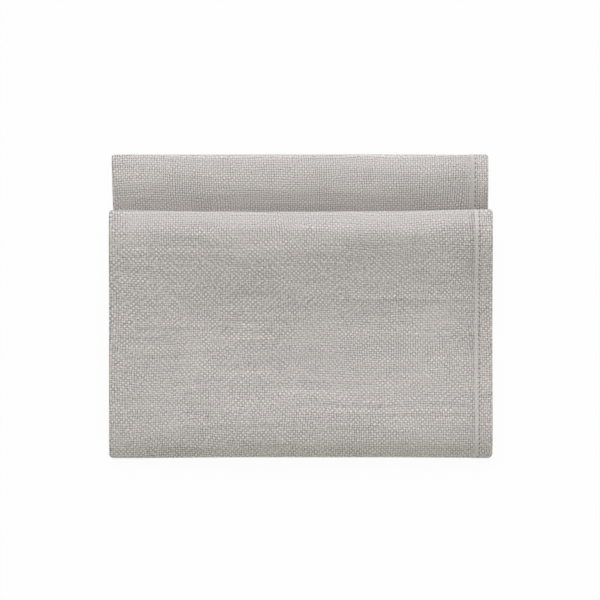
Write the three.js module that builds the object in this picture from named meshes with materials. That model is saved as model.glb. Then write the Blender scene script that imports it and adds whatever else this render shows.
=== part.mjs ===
// A folded table napkin: one square of thick hemmed cloth. It is folded in half, its two ends
// are turned in, and it is folded over once more, so that the back stands out beyond the front.
// Millimetres, +Z up. It lies on Z = 0 with its origin at the middle of its underside. +X points
// to the side where the hems lie together and +Y to the back fold.
import * as THREE from "three";

// Driving dimensions
const CLOTH_SIDE = 450; // finished side of the square
const CLOTH_THICKNESS = 1;
const HALF_GAP = 0.35; // air between the two halves of the cloth
const LAYER_GAP = 0.4; // air between one double layer and the next
const FOLDED_WIDTH = CLOTH_SIDE / 2;
const FOLDED_DEPTH = 178.8; // back fold to lower fold
const FRONT_DEPTH = 145.4; // front fold to lower fold
const HEM_WIDTH = 10.5;
const HEM_RAMP = 2.5; // width of the step from a hem down to the plain cloth
const HEM_PILE_RISE = 0.1; // the layers pile up this much higher over the hems
const HEM_THICKER = 0.12; // share that the hems across the two ends add
const HALF_FOLD_DROP = 0.06; // the pile thins by this share towards the fold in half
const HALF_FOLD_REACH = 8; // width of the strip that thins
const CLOTH_COLOUR = 0xb7b2ad;

// Sizes that follow from them
const DOUBLE = 2 * CLOTH_THICKNESS + HALF_GAP;
const LEVEL = DOUBLE + LAYER_GAP;
const UNDER_LEVEL = DOUBLE / 2;
const BACK_FLAP_LEVEL = UNDER_LEVEL + LEVEL;
const FRONT_FLAP_LEVEL = BACK_FLAP_LEVEL + LEVEL;
const RIGHT_EDGE = FOLDED_WIDTH / 2;
const BACK_FOLD = FOLDED_DEPTH / 2;
const LOWER_FOLD = -FOLDED_DEPTH / 2;
const FRONT_FOLD = LOWER_FOLD + FRONT_DEPTH;
const BACK_TIP = BACK_FOLD - DOUBLE / 2;
const LOWER_TIP = LOWER_FOLD + DOUBLE / 2;
const FRONT_TIP = FRONT_FOLD - DOUBLE / 2;

// The fold section, in the order in which the cloth runs. A row is a place where the double
// cloth levels out or turns: y and z of its middle, the angle of its run in degrees (0 runs to +Y
// and 90 up), how far the curve keeps to that angle before the place (lead) and after it (trail),
// and the steps that divide the stretch up to the next row.
const SECTION = [
  { place: "back flap", y: FRONT_FOLD - 1.1, z: BACK_FLAP_LEVEL, angle: 0, lead: 0, trail: 1.8, steps: 4 },
  { place: "back crest", y: BACK_TIP - 13.4, z: 8.2, angle: 0, lead: 10.1, trail: 1.7, steps: 5 },
  { place: "back shoulder", y: BACK_TIP - 3, z: 6.2, angle: -17.5, lead: 3, trail: 2, steps: 4 },
  { place: "back fold", y: BACK_TIP, z: 3.4, angle: -90, lead: 2.2, trail: 1.15, steps: 5 },
  { place: "under, back", y: BACK_TIP - 2.1, z: UNDER_LEVEL, angle: 180, lead: 1.15, trail: 50, steps: 7 },
  { place: "under, front", y: LOWER_TIP + 2.4, z: UNDER_LEVEL, angle: 180, lead: 50, trail: 1.35, steps: 5 },
  { place: "lower fold", y: LOWER_TIP, z: 3.7, angle: 90, lead: 1.35, trail: 2.15, steps: 5 },
  { place: "lower shoulder", y: LOWER_TIP + 3.1, z: 7.15, angle: 26.5, lead: 1.9, trail: 2.9, steps: 5 },
  { place: "lower crest", y: LOWER_TIP + 17.7, z: 9.9, angle: 0, lead: 9.7, trail: 11, steps: 5 },
  { place: "hollow", y: -16, z: 6.85, angle: 0, lead: 25.7, trail: 31, steps: 7 },
  { place: "front crest", y: FRONT_TIP - 14.2, z: 12.75, angle: 0, lead: 9.7, trail: 2.6, steps: 5 },
  { place: "front shoulder", y: FRONT_TIP - 3.6, z: 10.45, angle: -23.5, lead: 5.6, trail: 1.3, steps: 4 },
  { place: "front fold", y: FRONT_TIP, z: 8.15, angle: -90, lead: 1.7, trail: 0.85, steps: 5 },
  { place: "front flap", y: FRONT_TIP - 1.7, z: FRONT_FLAP_LEVEL, angle: 180, lead: 0.92, trail: 0 },
];
const FRONT_FLAP_LENGTH = 26; // its straight stretch; the back flap takes what is left
const FLAP_STEP = 14; // spacing of the sections along the straight flaps
const BACK_EASING = 40; // length over which the sides draw in towards the back
const FRONT_DRIFT_REACH = 60; // length of cloth that follows the front fold line
const LOWER_DRIFT_REACH = 40; // and the lower fold line

// Soft swells and hollows of the pile: place, spread to each side, and share of the height.
const SWELLS = [
  { place: "hollow by the hems", x: 58, y: 8, spreadX: 56, spreadY: 34, share: -0.16 },
  { place: "rise above it", x: 58, y: 38, spreadX: 30, spreadY: 13, share: 0.08 },
  { place: "hollow left of the middle", x: -61, y: 7, spreadX: 21, spreadY: 17, share: -0.1 },
  { place: "rise in the middle", x: -6, y: 22, spreadX: 54, spreadY: 18, share: 0.13 },
  { place: "slack left end of the front fold", x: -95, y: 56, spreadX: 60, spreadY: 34, share: -0.16 },
  { place: "full left side", x: -98, y: -15, spreadX: 32, spreadY: 34, share: 0.15 },
  { place: "slack lower left corner", x: -105, y: -78, spreadX: 21, spreadY: 30, share: -0.16 },
  { place: "full lower middle", x: -4, y: -79, spreadX: 72, spreadY: 34, share: 0.16 },
  { place: "rise by the back fold", x: 60, y: 85, spreadX: 70, spreadY: 19, share: 0.08 },
  { place: "stiff strip of the hems", x: 110, y: 18, spreadX: 10, spreadY: 18, share: 0.1 },
];
// The fold lines are not quite straight: x, and how far each line lies from its stated place.
const FOLD_DRIFT = [
  { x: -RIGHT_EDGE, back: -0.1, front: 0.4, lower: 0.1 },
  { x: -30, back: -0.1, front: -0.5, lower: 0.6 },
  { x: 45, back: 0, front: -0.3, lower: 0.6 },
  { x: RIGHT_EDGE, back: -0.4, front: 0.9, lower: 0 },
];
// How far the back part's sides lie in from the front's, at the front fold and at the back fold.
const BACK_DRAWN_IN = [
  { side: "left", atFrontFold: 2.25, atBackFold: 1.4 },
  { side: "right", atFrontFold: 2.5, atBackFold: 2.4 },
];
// Radii that the folded corners add to the roundness of the cloth, seen from above.
const FOLD_CORNERS = [
  { place: "back fold", left: 0.9, right: 1.8 },
  { place: "lower fold", left: 1.3, right: 2.1 },
  { place: "front fold", left: 0.4, right: 1.2 },
];

// Stations across one half of the cloth, as distances from the hem's edge, and from the fold in half.
const HEM_STATIONS = [0, HEM_WIDTH / 2, HEM_WIDTH, HEM_WIDTH + HEM_RAMP / 2, HEM_WIDTH + HEM_RAMP];
const HALF_FOLD_STATIONS = [HALF_FOLD_REACH, HALF_FOLD_REACH / 2, 0];
const PANEL_STEPS = 9;
const HALF_FOLD_STEPS = 6;

const { clamp, degToRad, lerp, smoothstep } = THREE.MathUtils;

// The curved stretches between the rows of the section table.
function foldCurves() {
  const toward = (row, reach) => {
    const angle = degToRad(row.angle);
    return new THREE.Vector2(row.y + reach * Math.cos(angle), row.z + reach * Math.sin(angle));
  };
  return SECTION.slice(1).map((end, index) => {
    const start = SECTION[index];
    const controls = [toward(start, 0), toward(start, start.trail), toward(end, -end.lead), toward(end, 0)];
    return new THREE.CubicBezierCurve(...controls);
  });
}

// Distances along a straight flap from its hemmed end, with places for the hem's step.
function flapDistances(length) {
  const count = Math.max(1, Math.round((length - HEM_WIDTH) / FLAP_STEP));
  const plain = Array.from({ length: count }, (_, k) => lerp(HEM_WIDTH, length, k / count));
  return [0, HEM_WIDTH - HEM_RAMP, ...plain];
}

// Thickness share that an end hem adds at a distance from the cloth's end.
function endHem(distance) {
  return HEM_THICKER * (1 - smoothstep(distance, HEM_WIDTH - HEM_RAMP, HEM_WIDTH));
}

// How far a side edge draws in near the tip of a fold, so that the corner is round.
function cornerInset(distance, radius) {
  const past = Math.max(0, radius - Math.abs(distance));
  return Math.min(radius - Math.sqrt(radius ** 2 - past ** 2), radius * 0.8);
}

// How far the left and right edges lie in from the full width at one place of the section.
function sideInsets(y, isBack, fold) {
  const back = isBack ? smoothstep(y, FRONT_FOLD - BACK_EASING, FRONT_FOLD) : 0;
  const toBack = clamp((y - FRONT_FOLD) / (BACK_FOLD - FRONT_FOLD), 0, 1);
  const corner = fold && FOLD_CORNERS.find((row) => row.place === fold.place);
  return BACK_DRAWN_IN.map(({ side, atFrontFold, atBackFold }) => {
    const round = corner ? cornerInset(y - fold.y, corner[side]) : 0;
    return round + back * lerp(atFrontFold, atBackFold, toBack);
  });
}

// Sections along the cloth: the middle of the double cloth, the direction out of its outer face,
// the thickness share that an end hem adds and how far the side edges draw in.
function sectionsAlong() {
  const curves = foldCurves();
  const curved = curves.reduce((sum, curve) => sum + curve.getLength(), 0);
  const backFlapLength = CLOTH_SIDE - curved - FRONT_FLAP_LENGTH;
  const first = SECTION[0];
  const last = SECTION[SECTION.length - 1];
  const lowerFold = SECTION.findIndex((row) => row.place === "lower fold");
  const sections = flapDistances(backFlapLength).map((distance) => {
    const y = first.y - backFlapLength + distance;
    return { y, z: first.z, outY: 0, outZ: 1, thicker: endHem(distance), insets: sideInsets(y, true) };
  });
  curves.forEach((curve, index) => {
    const { steps } = SECTION[index];
    const fold = [SECTION[index], SECTION[index + 1]].find((row) => Math.abs(row.angle) === 90);
    for (let step = 0; step < steps; step++) {
      const { x: y, y: z } = curve.getPoint(step / steps);
      const along = curve.getTangent(step / steps);
      const insets = sideInsets(y, index < lowerFold, fold);
      sections.push({ y, z, outY: -along.y, outZ: along.x, thicker: 0, insets });
    }
  });
  const frontFlap = [...flapDistances(FRONT_FLAP_LENGTH), FRONT_FLAP_LENGTH].reverse();
  frontFlap.forEach((distance) => {
    const y = last.y - FRONT_FLAP_LENGTH + distance;
    sections.push({ y, z: last.z, outY: 0, outZ: -1, thicker: endHem(distance), insets: [0, 0] });
  });
  return sections;
}

// Stations across the cloth: the outer and inner point of the sheet, as the distance x and the
// offset n from the middle of the double cloth. The half with its outer face at +n comes first.
function stationsAcross() {
  const outer = DOUBLE / 2;
  const inner = HALF_GAP / 2;
  const centre = -RIGHT_EDGE + outer;
  const panelStart = RIGHT_EDGE - HEM_WIDTH - HEM_RAMP;
  const panelEnd = centre + HALF_FOLD_REACH;
  const half = HEM_STATIONS.map((distance) => RIGHT_EDGE - distance);
  for (let step = 1; step < PANEL_STEPS; step++) {
    half.push(lerp(panelStart, panelEnd, step / PANEL_STEPS));
  }
  half.push(...HALF_FOLD_STATIONS.map((distance) => centre + distance));
  const sheet = (x, side) => ({ outerX: x, outerN: side * outer, innerX: x, innerN: side * inner });
  const stations = half.map((x) => sheet(x, 1));
  for (let step = 1; step < HALF_FOLD_STEPS; step++) {
    const turn = Math.PI / 2 + (Math.PI * step) / HALF_FOLD_STEPS;
    stations.push({
      outerX: centre + outer * Math.cos(turn),
      outerN: outer * Math.sin(turn),
      innerX: centre + inner * Math.cos(turn),
      innerN: inner * Math.sin(turn),
    });
  }
  return stations.concat([...half].reverse().map((x) => sheet(x, -1)));
}

// How far one fold line lies from its stated place at x.
function foldDrift(fold, x) {
  const after = FOLD_DRIFT.findIndex((row) => row.x >= x);
  const upper = after < 0 ? FOLD_DRIFT.length - 1 : Math.max(1, after);
  const start = FOLD_DRIFT[upper - 1];
  const end = FOLD_DRIFT[upper];
  return lerp(start[fold], end[fold], smoothstep(x, start.x, end.x));
}

// Makes the pile as uneven as real cloth. Heights are only scaled, so layers never cross.
function rumpled(x, y, z) {
  const swell = SWELLS.reduce((sum, row) => {
    const across = (x - row.x) / row.spreadX;
    const along = (y - row.y) / row.spreadY;
    return sum + row.share * Math.exp(-(across ** 2) - along ** 2);
  }, 0);
  const hemStart = RIGHT_EDGE - HEM_WIDTH;
  const hem = HEM_PILE_RISE * smoothstep(x, hemStart - HEM_RAMP, hemStart);
  const thin = HALF_FOLD_DROP * (1 - smoothstep(x, -RIGHT_EDGE, HALF_FOLD_REACH - RIGHT_EDGE));
  const upper = smoothstep(z, BACK_FLAP_LEVEL, FRONT_FLAP_LEVEL);
  const front = upper * smoothstep(y, FRONT_FOLD - FRONT_DRIFT_REACH, FRONT_FOLD) * foldDrift("front", x);
  const back = smoothstep(y, FRONT_FOLD, BACK_FOLD) * foldDrift("back", x);
  const lower = smoothstep(-y, -LOWER_FOLD - LOWER_DRIFT_REACH, -LOWER_FOLD) * foldDrift("lower", x);
  return [x, y + front + back + lower, z * (1 + swell + hem - thin)];
}

// The cloth as one closed slab: an outer and an inner grid of points, joined round its four edges.
function napkinGeometry() {
  const sections = sectionsAlong();
  const stations = stationsAcross();
  const positions = [];
  const place = (section, x, n) => {
    const [left, right] = section.insets;
    const toRight = (x + RIGHT_EDGE) / FOLDED_WIDTH;
    const drawnIn = x + lerp(left, -right, toRight);
    const offset = n * (1 + section.thicker);
    const y = section.y + section.outY * offset;
    const z = section.z + section.outZ * offset;
    positions.push(...rumpled(drawnIn, y, z));
  };
  sections.forEach((section) => {
    stations.forEach((station) => {
      place(section, station.outerX, station.outerN);
      place(section, station.innerX, station.innerN);
    });
  });
  const outerAt = (row, column) => 2 * (row * stations.length + column);
  const innerAt = (row, column) => outerAt(row, column) + 1;
  const triangles = [];
  const quad = (a, b, c, d) => triangles.push(a, b, c, a, c, d);
  const lastRow = sections.length - 1;
  const lastColumn = stations.length - 1;
  for (let row = 0; row < lastRow; row++) {
    const next = row + 1;
    for (let column = 0; column < lastColumn; column++) {
      const beside = column + 1;
      quad(outerAt(row, column), outerAt(next, column), outerAt(next, beside), outerAt(row, beside));
      quad(innerAt(row, column), innerAt(row, beside), innerAt(next, beside), innerAt(next, column));
    }
    quad(outerAt(row, 0), innerAt(row, 0), innerAt(next, 0), outerAt(next, 0));
    const [outer, inner] = [outerAt(row, lastColumn), innerAt(row, lastColumn)];
    quad(outer, outerAt(next, lastColumn), innerAt(next, lastColumn), inner);
  }
  for (let column = 0; column < lastColumn; column++) {
    const beside = column + 1;
    quad(outerAt(0, column), outerAt(0, beside), innerAt(0, beside), innerAt(0, column));
    const [outer, inner] = [outerAt(lastRow, column), innerAt(lastRow, column)];
    quad(outer, inner, innerAt(lastRow, beside), outerAt(lastRow, beside));
  }
  const geometry = new THREE.BufferGeometry();
  geometry.setAttribute("position", new THREE.Float32BufferAttribute(positions, 3));
  geometry.setIndex(triangles);
  geometry.computeBoundingBox();
  const { min, max } = geometry.boundingBox;
  geometry.translate(-(min.x + max.x) / 2, -(min.y + max.y) / 2, -min.z);
  geometry.computeVertexNormals();
  return geometry;
}

const cloth = new THREE.Mesh(
  napkinGeometry(),
  new THREE.MeshStandardMaterial({ color: CLOTH_COLOUR, roughness: 0.95, metalness: 0 }),
);
cloth.name = "napkin_cloth";

const napkin = new THREE.Group();
napkin.add(cloth);

export default napkin;
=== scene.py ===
"""A folded table napkin: one hemmed square of thick slubby linen, folded in half, its ends turned in and
folded over once more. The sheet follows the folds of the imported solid, in the same frame and in metres."""

import math

import bpy
import numpy as np
from bpy.props import FloatProperty, FloatVectorProperty, IntProperty, PointerProperty
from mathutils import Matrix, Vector


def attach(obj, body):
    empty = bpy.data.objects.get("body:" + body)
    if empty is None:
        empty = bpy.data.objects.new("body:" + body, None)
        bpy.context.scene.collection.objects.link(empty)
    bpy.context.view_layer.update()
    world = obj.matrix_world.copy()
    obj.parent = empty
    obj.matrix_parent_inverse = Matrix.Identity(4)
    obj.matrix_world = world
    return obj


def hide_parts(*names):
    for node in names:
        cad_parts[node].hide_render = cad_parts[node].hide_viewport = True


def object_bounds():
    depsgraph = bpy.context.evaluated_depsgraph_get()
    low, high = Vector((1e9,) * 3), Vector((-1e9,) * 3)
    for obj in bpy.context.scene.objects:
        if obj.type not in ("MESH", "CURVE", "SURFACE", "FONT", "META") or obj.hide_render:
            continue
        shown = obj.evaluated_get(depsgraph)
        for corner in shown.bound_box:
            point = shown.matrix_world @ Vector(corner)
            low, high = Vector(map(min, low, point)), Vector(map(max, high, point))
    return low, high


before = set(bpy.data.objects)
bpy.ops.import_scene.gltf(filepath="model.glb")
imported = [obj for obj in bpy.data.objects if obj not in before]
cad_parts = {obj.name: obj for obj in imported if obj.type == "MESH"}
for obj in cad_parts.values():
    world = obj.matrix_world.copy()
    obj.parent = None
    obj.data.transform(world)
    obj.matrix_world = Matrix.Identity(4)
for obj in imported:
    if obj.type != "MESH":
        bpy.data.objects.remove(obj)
CAD_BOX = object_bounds()

bl_info = {
    "name": "Folded Napkin",
    "version": (1, 0, 0),
    "blender": (4, 5, 0),
    "location": "View3D > Sidebar > Napkin",
    "description": "Builds a folded linen napkin with stitched hems on its packed solid",
    "category": "Object",
}

MM = 0.001
NODE = "napkin_cloth"
BODY = "root"

# Sizes of the folds, in millimetres, as the solid has them.
CLOTH_SIDE = 450.0
CLOTH_THICKNESS = 1.0
HALF_GAP = 0.35
LAYER_GAP = 0.4
FOLDED_WIDTH = CLOTH_SIDE / 2
FOLDED_DEPTH = 178.8
FRONT_DEPTH = 145.4
HEM_WIDTH = 10.5
HEM_RAMP = 2.5
HEM_PILE_RISE = 0.1
HALF_FOLD_DROP = 0.06
HALF_FOLD_REACH = 8.0
FRONT_FLAP_LENGTH = 26.0
BACK_EASING = 40.0
FRONT_DRIFT_REACH = 60.0
LOWER_DRIFT_REACH = 40.0

DOUBLE = 2 * CLOTH_THICKNESS + HALF_GAP
LEVEL = DOUBLE + LAYER_GAP
UNDER_LEVEL = DOUBLE / 2
BACK_FLAP_LEVEL = UNDER_LEVEL + LEVEL
FRONT_FLAP_LEVEL = BACK_FLAP_LEVEL + LEVEL
RIGHT_EDGE = FOLDED_WIDTH / 2
BACK_FOLD = FOLDED_DEPTH / 2
LOWER_FOLD = -FOLDED_DEPTH / 2
FRONT_FOLD = LOWER_FOLD + FRONT_DEPTH
BACK_TIP = BACK_FOLD - DOUBLE / 2
LOWER_TIP = LOWER_FOLD + DOUBLE / 2
FRONT_TIP = FRONT_FOLD - DOUBLE / 2

# The fold section: place, y and z of the middle of the double cloth, heading in degrees, and how far
# the curve keeps to that heading before and after the place.
SECTION = (
    ("back flap", FRONT_FOLD - 1.1, BACK_FLAP_LEVEL, 0, 0, 1.8),
    ("back crest", BACK_TIP - 13.4, 8.2, 0, 10.1, 1.7),
    ("back shoulder", BACK_TIP - 3, 6.2, -17.5, 3, 2),
    ("back fold", BACK_TIP, 3.4, -90, 2.2, 1.15),
    ("under, back", BACK_TIP - 2.1, UNDER_LEVEL, 180, 1.15, 50),
    ("under, front", LOWER_TIP + 2.4, UNDER_LEVEL, 180, 50, 1.35),
    ("lower fold", LOWER_TIP, 3.7, 90, 1.35, 2.15),
    ("lower shoulder", LOWER_TIP + 3.1, 7.15, 26.5, 1.9, 2.9),
    ("lower crest", LOWER_TIP + 17.7, 9.9, 0, 9.7, 11),
    ("hollow", -16, 6.85, 0, 25.7, 31),
    ("front crest", FRONT_TIP - 14.2, 12.75, 0, 9.7, 2.6),
    ("front shoulder", FRONT_TIP - 3.6, 10.45, -23.5, 5.6, 1.3),
    ("front fold", FRONT_TIP, 8.15, -90, 1.7, 0.85),
    ("front flap", FRONT_TIP - 1.7, FRONT_FLAP_LEVEL, 180, 0.92, 0),
)

# Soft swells and hollows of the pile: x, y, spread in x and y, share of the height.
SWELLS = (
    (58, 8, 56, 34, -0.16),
    (58, 38, 30, 13, 0.08),
    (-61, 7, 21, 17, -0.1),
    (-6, 22, 54, 18, 0.13),
    (-95, 56, 60, 34, -0.16),
    (-98, -15, 32, 34, 0.15),
    (-105, -78, 21, 30, -0.16),
    (-4, -79, 72, 34, 0.16),
    (60, 85, 70, 19, 0.08),
    (110, 18, 10, 18, 0.1),
)
# Soft troughs and ridges that only show on the sheet: x and y of both ends, width, share of the height.
TROUGHS = (
    (98.4, 48, 98.4, -84, 3.4, -0.02),
    (97.0, 62, 94.0, 76, 8.0, -0.08),
    (40.0, 34, 96.0, 38, 7.0, -0.025),
    (-62.0, 30, -30.0, 14, 9.0, -0.02),
    (-112.0, -9, -66.0, -15, 4.5, -0.02),
    (-112.0, -24, -70.0, -30, 4.0, -0.02),
    (30.0, 16, 66.0, 30, 8.0, -0.018),
    (-112.0, 75.4, 112.0, 75.4, 4.0, -0.045),
    (-112.0, 51.2, 112.0, 51.2, 4.0, 0.02),
)
# How far each fold line lies from its stated place: x, then the back, front and lower fold.
FOLD_DRIFT = (
    (-RIGHT_EDGE, -0.1, 0.4, 0.1),
    (-30.0, -0.1, -0.5, 0.6),
    (45.0, 0.0, -0.3, 0.6),
    (RIGHT_EDGE, -0.4, 0.9, 0.3),
)
# How far the back part's sides lie in from the front's, at the front fold and at the back fold.
BACK_DRAWN_IN = {"left": (2.25, 1.4), "right": (2.5, 2.4)}
# Radii that the folded corners add to the roundness of the cloth: fold, its tip, left and right.
FOLD_CORNERS = (
    ("back fold", BACK_TIP, {"left": 0.9, "right": 1.8}),
    ("lower fold", LOWER_TIP, {"left": 1.3, "right": 2.1}),
    ("front fold", FRONT_TIP, {"left": 0.4, "right": 1.2}),
)
# Thick and thin weft yarns that stand out: x from and to, y on the front, rise.
SLUBS = (
    (-7, 99, -61.5, 0.11),
    (46, 99, -67.0, 0.11),
    (7, 99, -53.5, 0.07),
    (61, 99, -31.5, 0.09),
    (28, 99, 6.0, 0.10),
    (-22, 29, 38.0, 0.10),
    (-108, -6, 33.0, 0.10),
    (-82, -50, 42.5, 0.09),
    (-108, -80, 15.5, 0.10),
    (-89, -15, -11.0, 0.10),
    (-107, -63, -16.5, 0.10),
    (-52, -13, -19.5, 0.09),
    (-104, -44, -25.0, 0.09),
    (-107, -66, -32.5, 0.09),
    (-48, -15, -38.5, 0.09),
    (21, 99, 3.5, -0.10),
    (39, 99, -64.5, -0.09),
    (-12, 66, -58.5, -0.07),
    (-67, -35, 35.0, -0.10),
    (-89, -54, 40.0, -0.11),
    (-50, -13, 25.0, -0.08),
    (-95, -63, -13.5, -0.11),
    (-45, -1, -9.0, -0.08),
    (-111, -76, -19.0, -0.09),
    (-104, -69, -29.5, -0.09),
)
# Height of a side hem over the plain cloth: distance from the edge, rise.
HEM_PROFILE = (
    (0.0, 0.28), (1.0, 0.40), (5.5, 0.44), (6.8, 0.40), (7.4, 0.33),
    (7.8, 0.27), (8.2, 0.32), (8.8, 0.42), (9.6, 0.48), (10.2, 0.42),
    (10.6, 0.24), (11.0, 0.04), (11.6, -0.05), (13.0, -0.06), (16.0, 0.0),
)
# Columns of the sheet's mesh: places by the hem that shows, by the hidden hem and by the fold in half, steps
# of the plain cloth where it shows and where it is hidden, and steps round the fold in half.
HEM_COLUMNS = (
    0, 0.25, 0.7, 1.5, 2.8, 4.2, 5.6, 6.6, 7.1, 7.45, 7.8, 8.15, 8.5, 9.0, 9.6, 10.1, 10.45, 10.75, 11.05,
    11.5, 12.2, 13.2, 14.5, 16.2,
)
HIDDEN_HEM_COLUMNS = (14.5, 11.5, 10.75, 10.1, 8.5, 7.8, 7.1, 4.2, 1.5, 0.25, 0)
HALF_FOLD_COLUMNS = (6.5, 4.5, 3.0, 1.5, 0)
PANEL_STEP = 3.6
HIDDEN_PANEL_STEP = 9.0
HALF_FOLD_STEPS = 13
# Rows of the sheet's mesh: places by the ends of the cloth, reach round a fold and the parts of a yarn there,
# how many yarns share a row where the cloth is hidden, and the least distance of two rows.
END_ROWS = (0, 0.25, 0.7, 1.5, 5.0, 7.0, 7.8, 8.6, 9.6, 10.6, 11.4, 13.0)
FOLD_ROWS = ((4.2, 6), (9.6, 2))
HIDDEN_YARNS = 4
LEAST_ROW_STEP = 0.12
# Turned edges: reach of their rounding and the share of the thickness left at the rim, how much a hem's strip
# puckers, how far a stitch dips into it, and the share of its relief at the two ends of the cloth.
EDGE_ROUNDING = 0.7
RIM_SHARE = 0.22
PUCKER = 0.22
STITCH_DIP = 0.07
END_HEM_SHARE = 0.35
# Chance slubs of the weft: distance of the knots that they are drawn at, usual unevenness of a yarn, how many
# slubs there are, their length in knots, their rise, and how far a listed slub bows.
SLUB_KNOT = 11.0
YARN_UNEVENNESS = 0.017
SLUB_COUNT = 190
SLUB_KNOTS = (1, 6)
SLUB_RISE = (0.03, 0.075)
SLUB_BOW = 0.5

# Numbers that the sheet keeps on its points for the material.
SHEET_MARKS = ("slub", "pressed", "loose", "corners")
# Unevenness of the weave: how fast it changes with each of the two numbers that it is read at, its own layer,
# its detail and its strength.
UNEVEN = {
    "warp wander": (0.13, 0.045, 0.0, 0.0, 0.35),
    "warp jitter": (0.5, 0.4, 41.0, 0.0, 0.20),
    "warp drift": (0.03, 0.03, 53.0, 0.0, 1.0),
    "weft wander": (0.05, 0.11, 4.0, 0.0, 0.30),
    "weft jitter": (0.4, 0.5, 43.0, 0.0, 0.20),
    "weft drift": (0.03, 0.03, 59.0, 0.0, 1.0),
    "warp swell": (3.71, 0.07, 2.0, 0.0, 0.13),
    "weft swell": (0.06, 4.37, 7.0, 0.0, 0.13),
    "warp fibre": (9.0, 0.9, 11.0, 2.0, 1.0),
    "weft fibre": (0.9, 9.0, 13.0, 2.0, 1.0),
    "warp tone": (5.3, 0.10, 17.0, 1.0, 0.045),
    "weft tone": (0.035, 5.9, 19.0, 1.0, 0.10),
    "broad cloud": (0.022, 0.022, 23.0, 2.0, 0.010),
    "long cloud": (0.025, 0.3, 67.0, 0.0, 0.026),
    "small cloud": (0.2, 0.26, 71.0, 0.0, 0.024),
    "crossing": (0.29, 0.29, 47.0, 0.0, 1.0),
    "warp gap": (3.7, 0.42, 31.0, 0.0, 0.17),
    "warp gap patch": (0.06, 0.06, 73.0, 0.0, 0.14),
    "weft gap": (0.40, 4.1, 37.0, 0.0, 0.20),
    "weft gap patch": (0.05, 0.06, 79.0, 0.0, 0.10),
    "lint": (1.7, 1.7, 61.0, 0.0, 0.15),
}
# What brings the noise texture to about -1 to 1.
NOISE_SPREAD = 3.2
# Yarns, in shares of their distance: how far they wave over and under each other, their usual widths, and
# what a slub adds to a weft yarn's width and tone.
YARN_WAVE = 0.55
WARP_WIDTH = 0.94
WEFT_WIDTH = 0.98
SLUB_SWELL = 1.82
SLUB_TONE = 2.1
# Tone of the cloth: what chance and the leaning of a crossing add to it, the latter on drawn cloth and more
# on loose cloth, what the fibres add, the painted shade that gaps take from it on average and where they are
# widest, the painted shade beside a side hem, along its edge and at the corners of the front fold, and its
# upper limit.
CHANCE_TONE = 0.06
DRAWN_LEAN = 0.135
LOOSE_LEAN = 0.15
FIBRE_TONE = 0.08
GAP_SHADE = 0.13
WARP_GAP = 0.235
LOOSE_WARP_GAP = -0.09
WEFT_GAP = 0.12
FOUR_YARN_GAP = 1.8
SIDE_PAINTED_SHADE = 0.045
CORNER_PAINTED_SHADE = 0.13
TONE_LIMIT = 0.97
# How much of the weave's colour gives way where the cloth is pressed smooth, and to painted shade in a needle
# hole.
PRESSED_SHARE = 0.5
HOLE_SHADE_SHARE = 0.75
# Needle holes, and the twist of the thread and its relief, in metres.
HOLE_HALF_WIDTH = 0.00042
HOLE_HALF_LENGTH = 0.0008
TWIST_PITCH = 0.00055
TWIST_RELIEF = 0.00008
# Inputs of the stitch nodes, in the order in which they are set: name, kind, default.
STITCH_INPUTS = (
    ("Stitch Length", "NodeSocketFloat", 0.0028),
    ("Thread Diameter", "NodeSocketFloat", 0.0005),
    ("Unevenness", "NodeSocketFloat", 0.1),
    ("Seed", "NodeSocketInt", 3),
)
# Stage: half the floor's side, how far it lies under the napkin, and the camera's sensor in millimetres.
FLOOR_HALF_SIDE = 3.0
FLOOR_DROP = 0.0002
SENSOR = 36.0


def smoothstep(x, low, high):
    t = np.clip((x - low) / (high - low), 0.0, 1.0)
    return t * t * (3 - 2 * t)


def eased(x, rows, column):
    """Reads a table whose first column is x, easing from row to row."""
    xs = [row[0] for row in rows]
    value = np.full_like(np.asarray(x, float), rows[0][column])
    for start, end, low, high in zip(rows, rows[1:], xs, xs[1:]):
        value = value + (end[column] - start[column]) * smoothstep(x, low, high)
    return value


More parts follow.
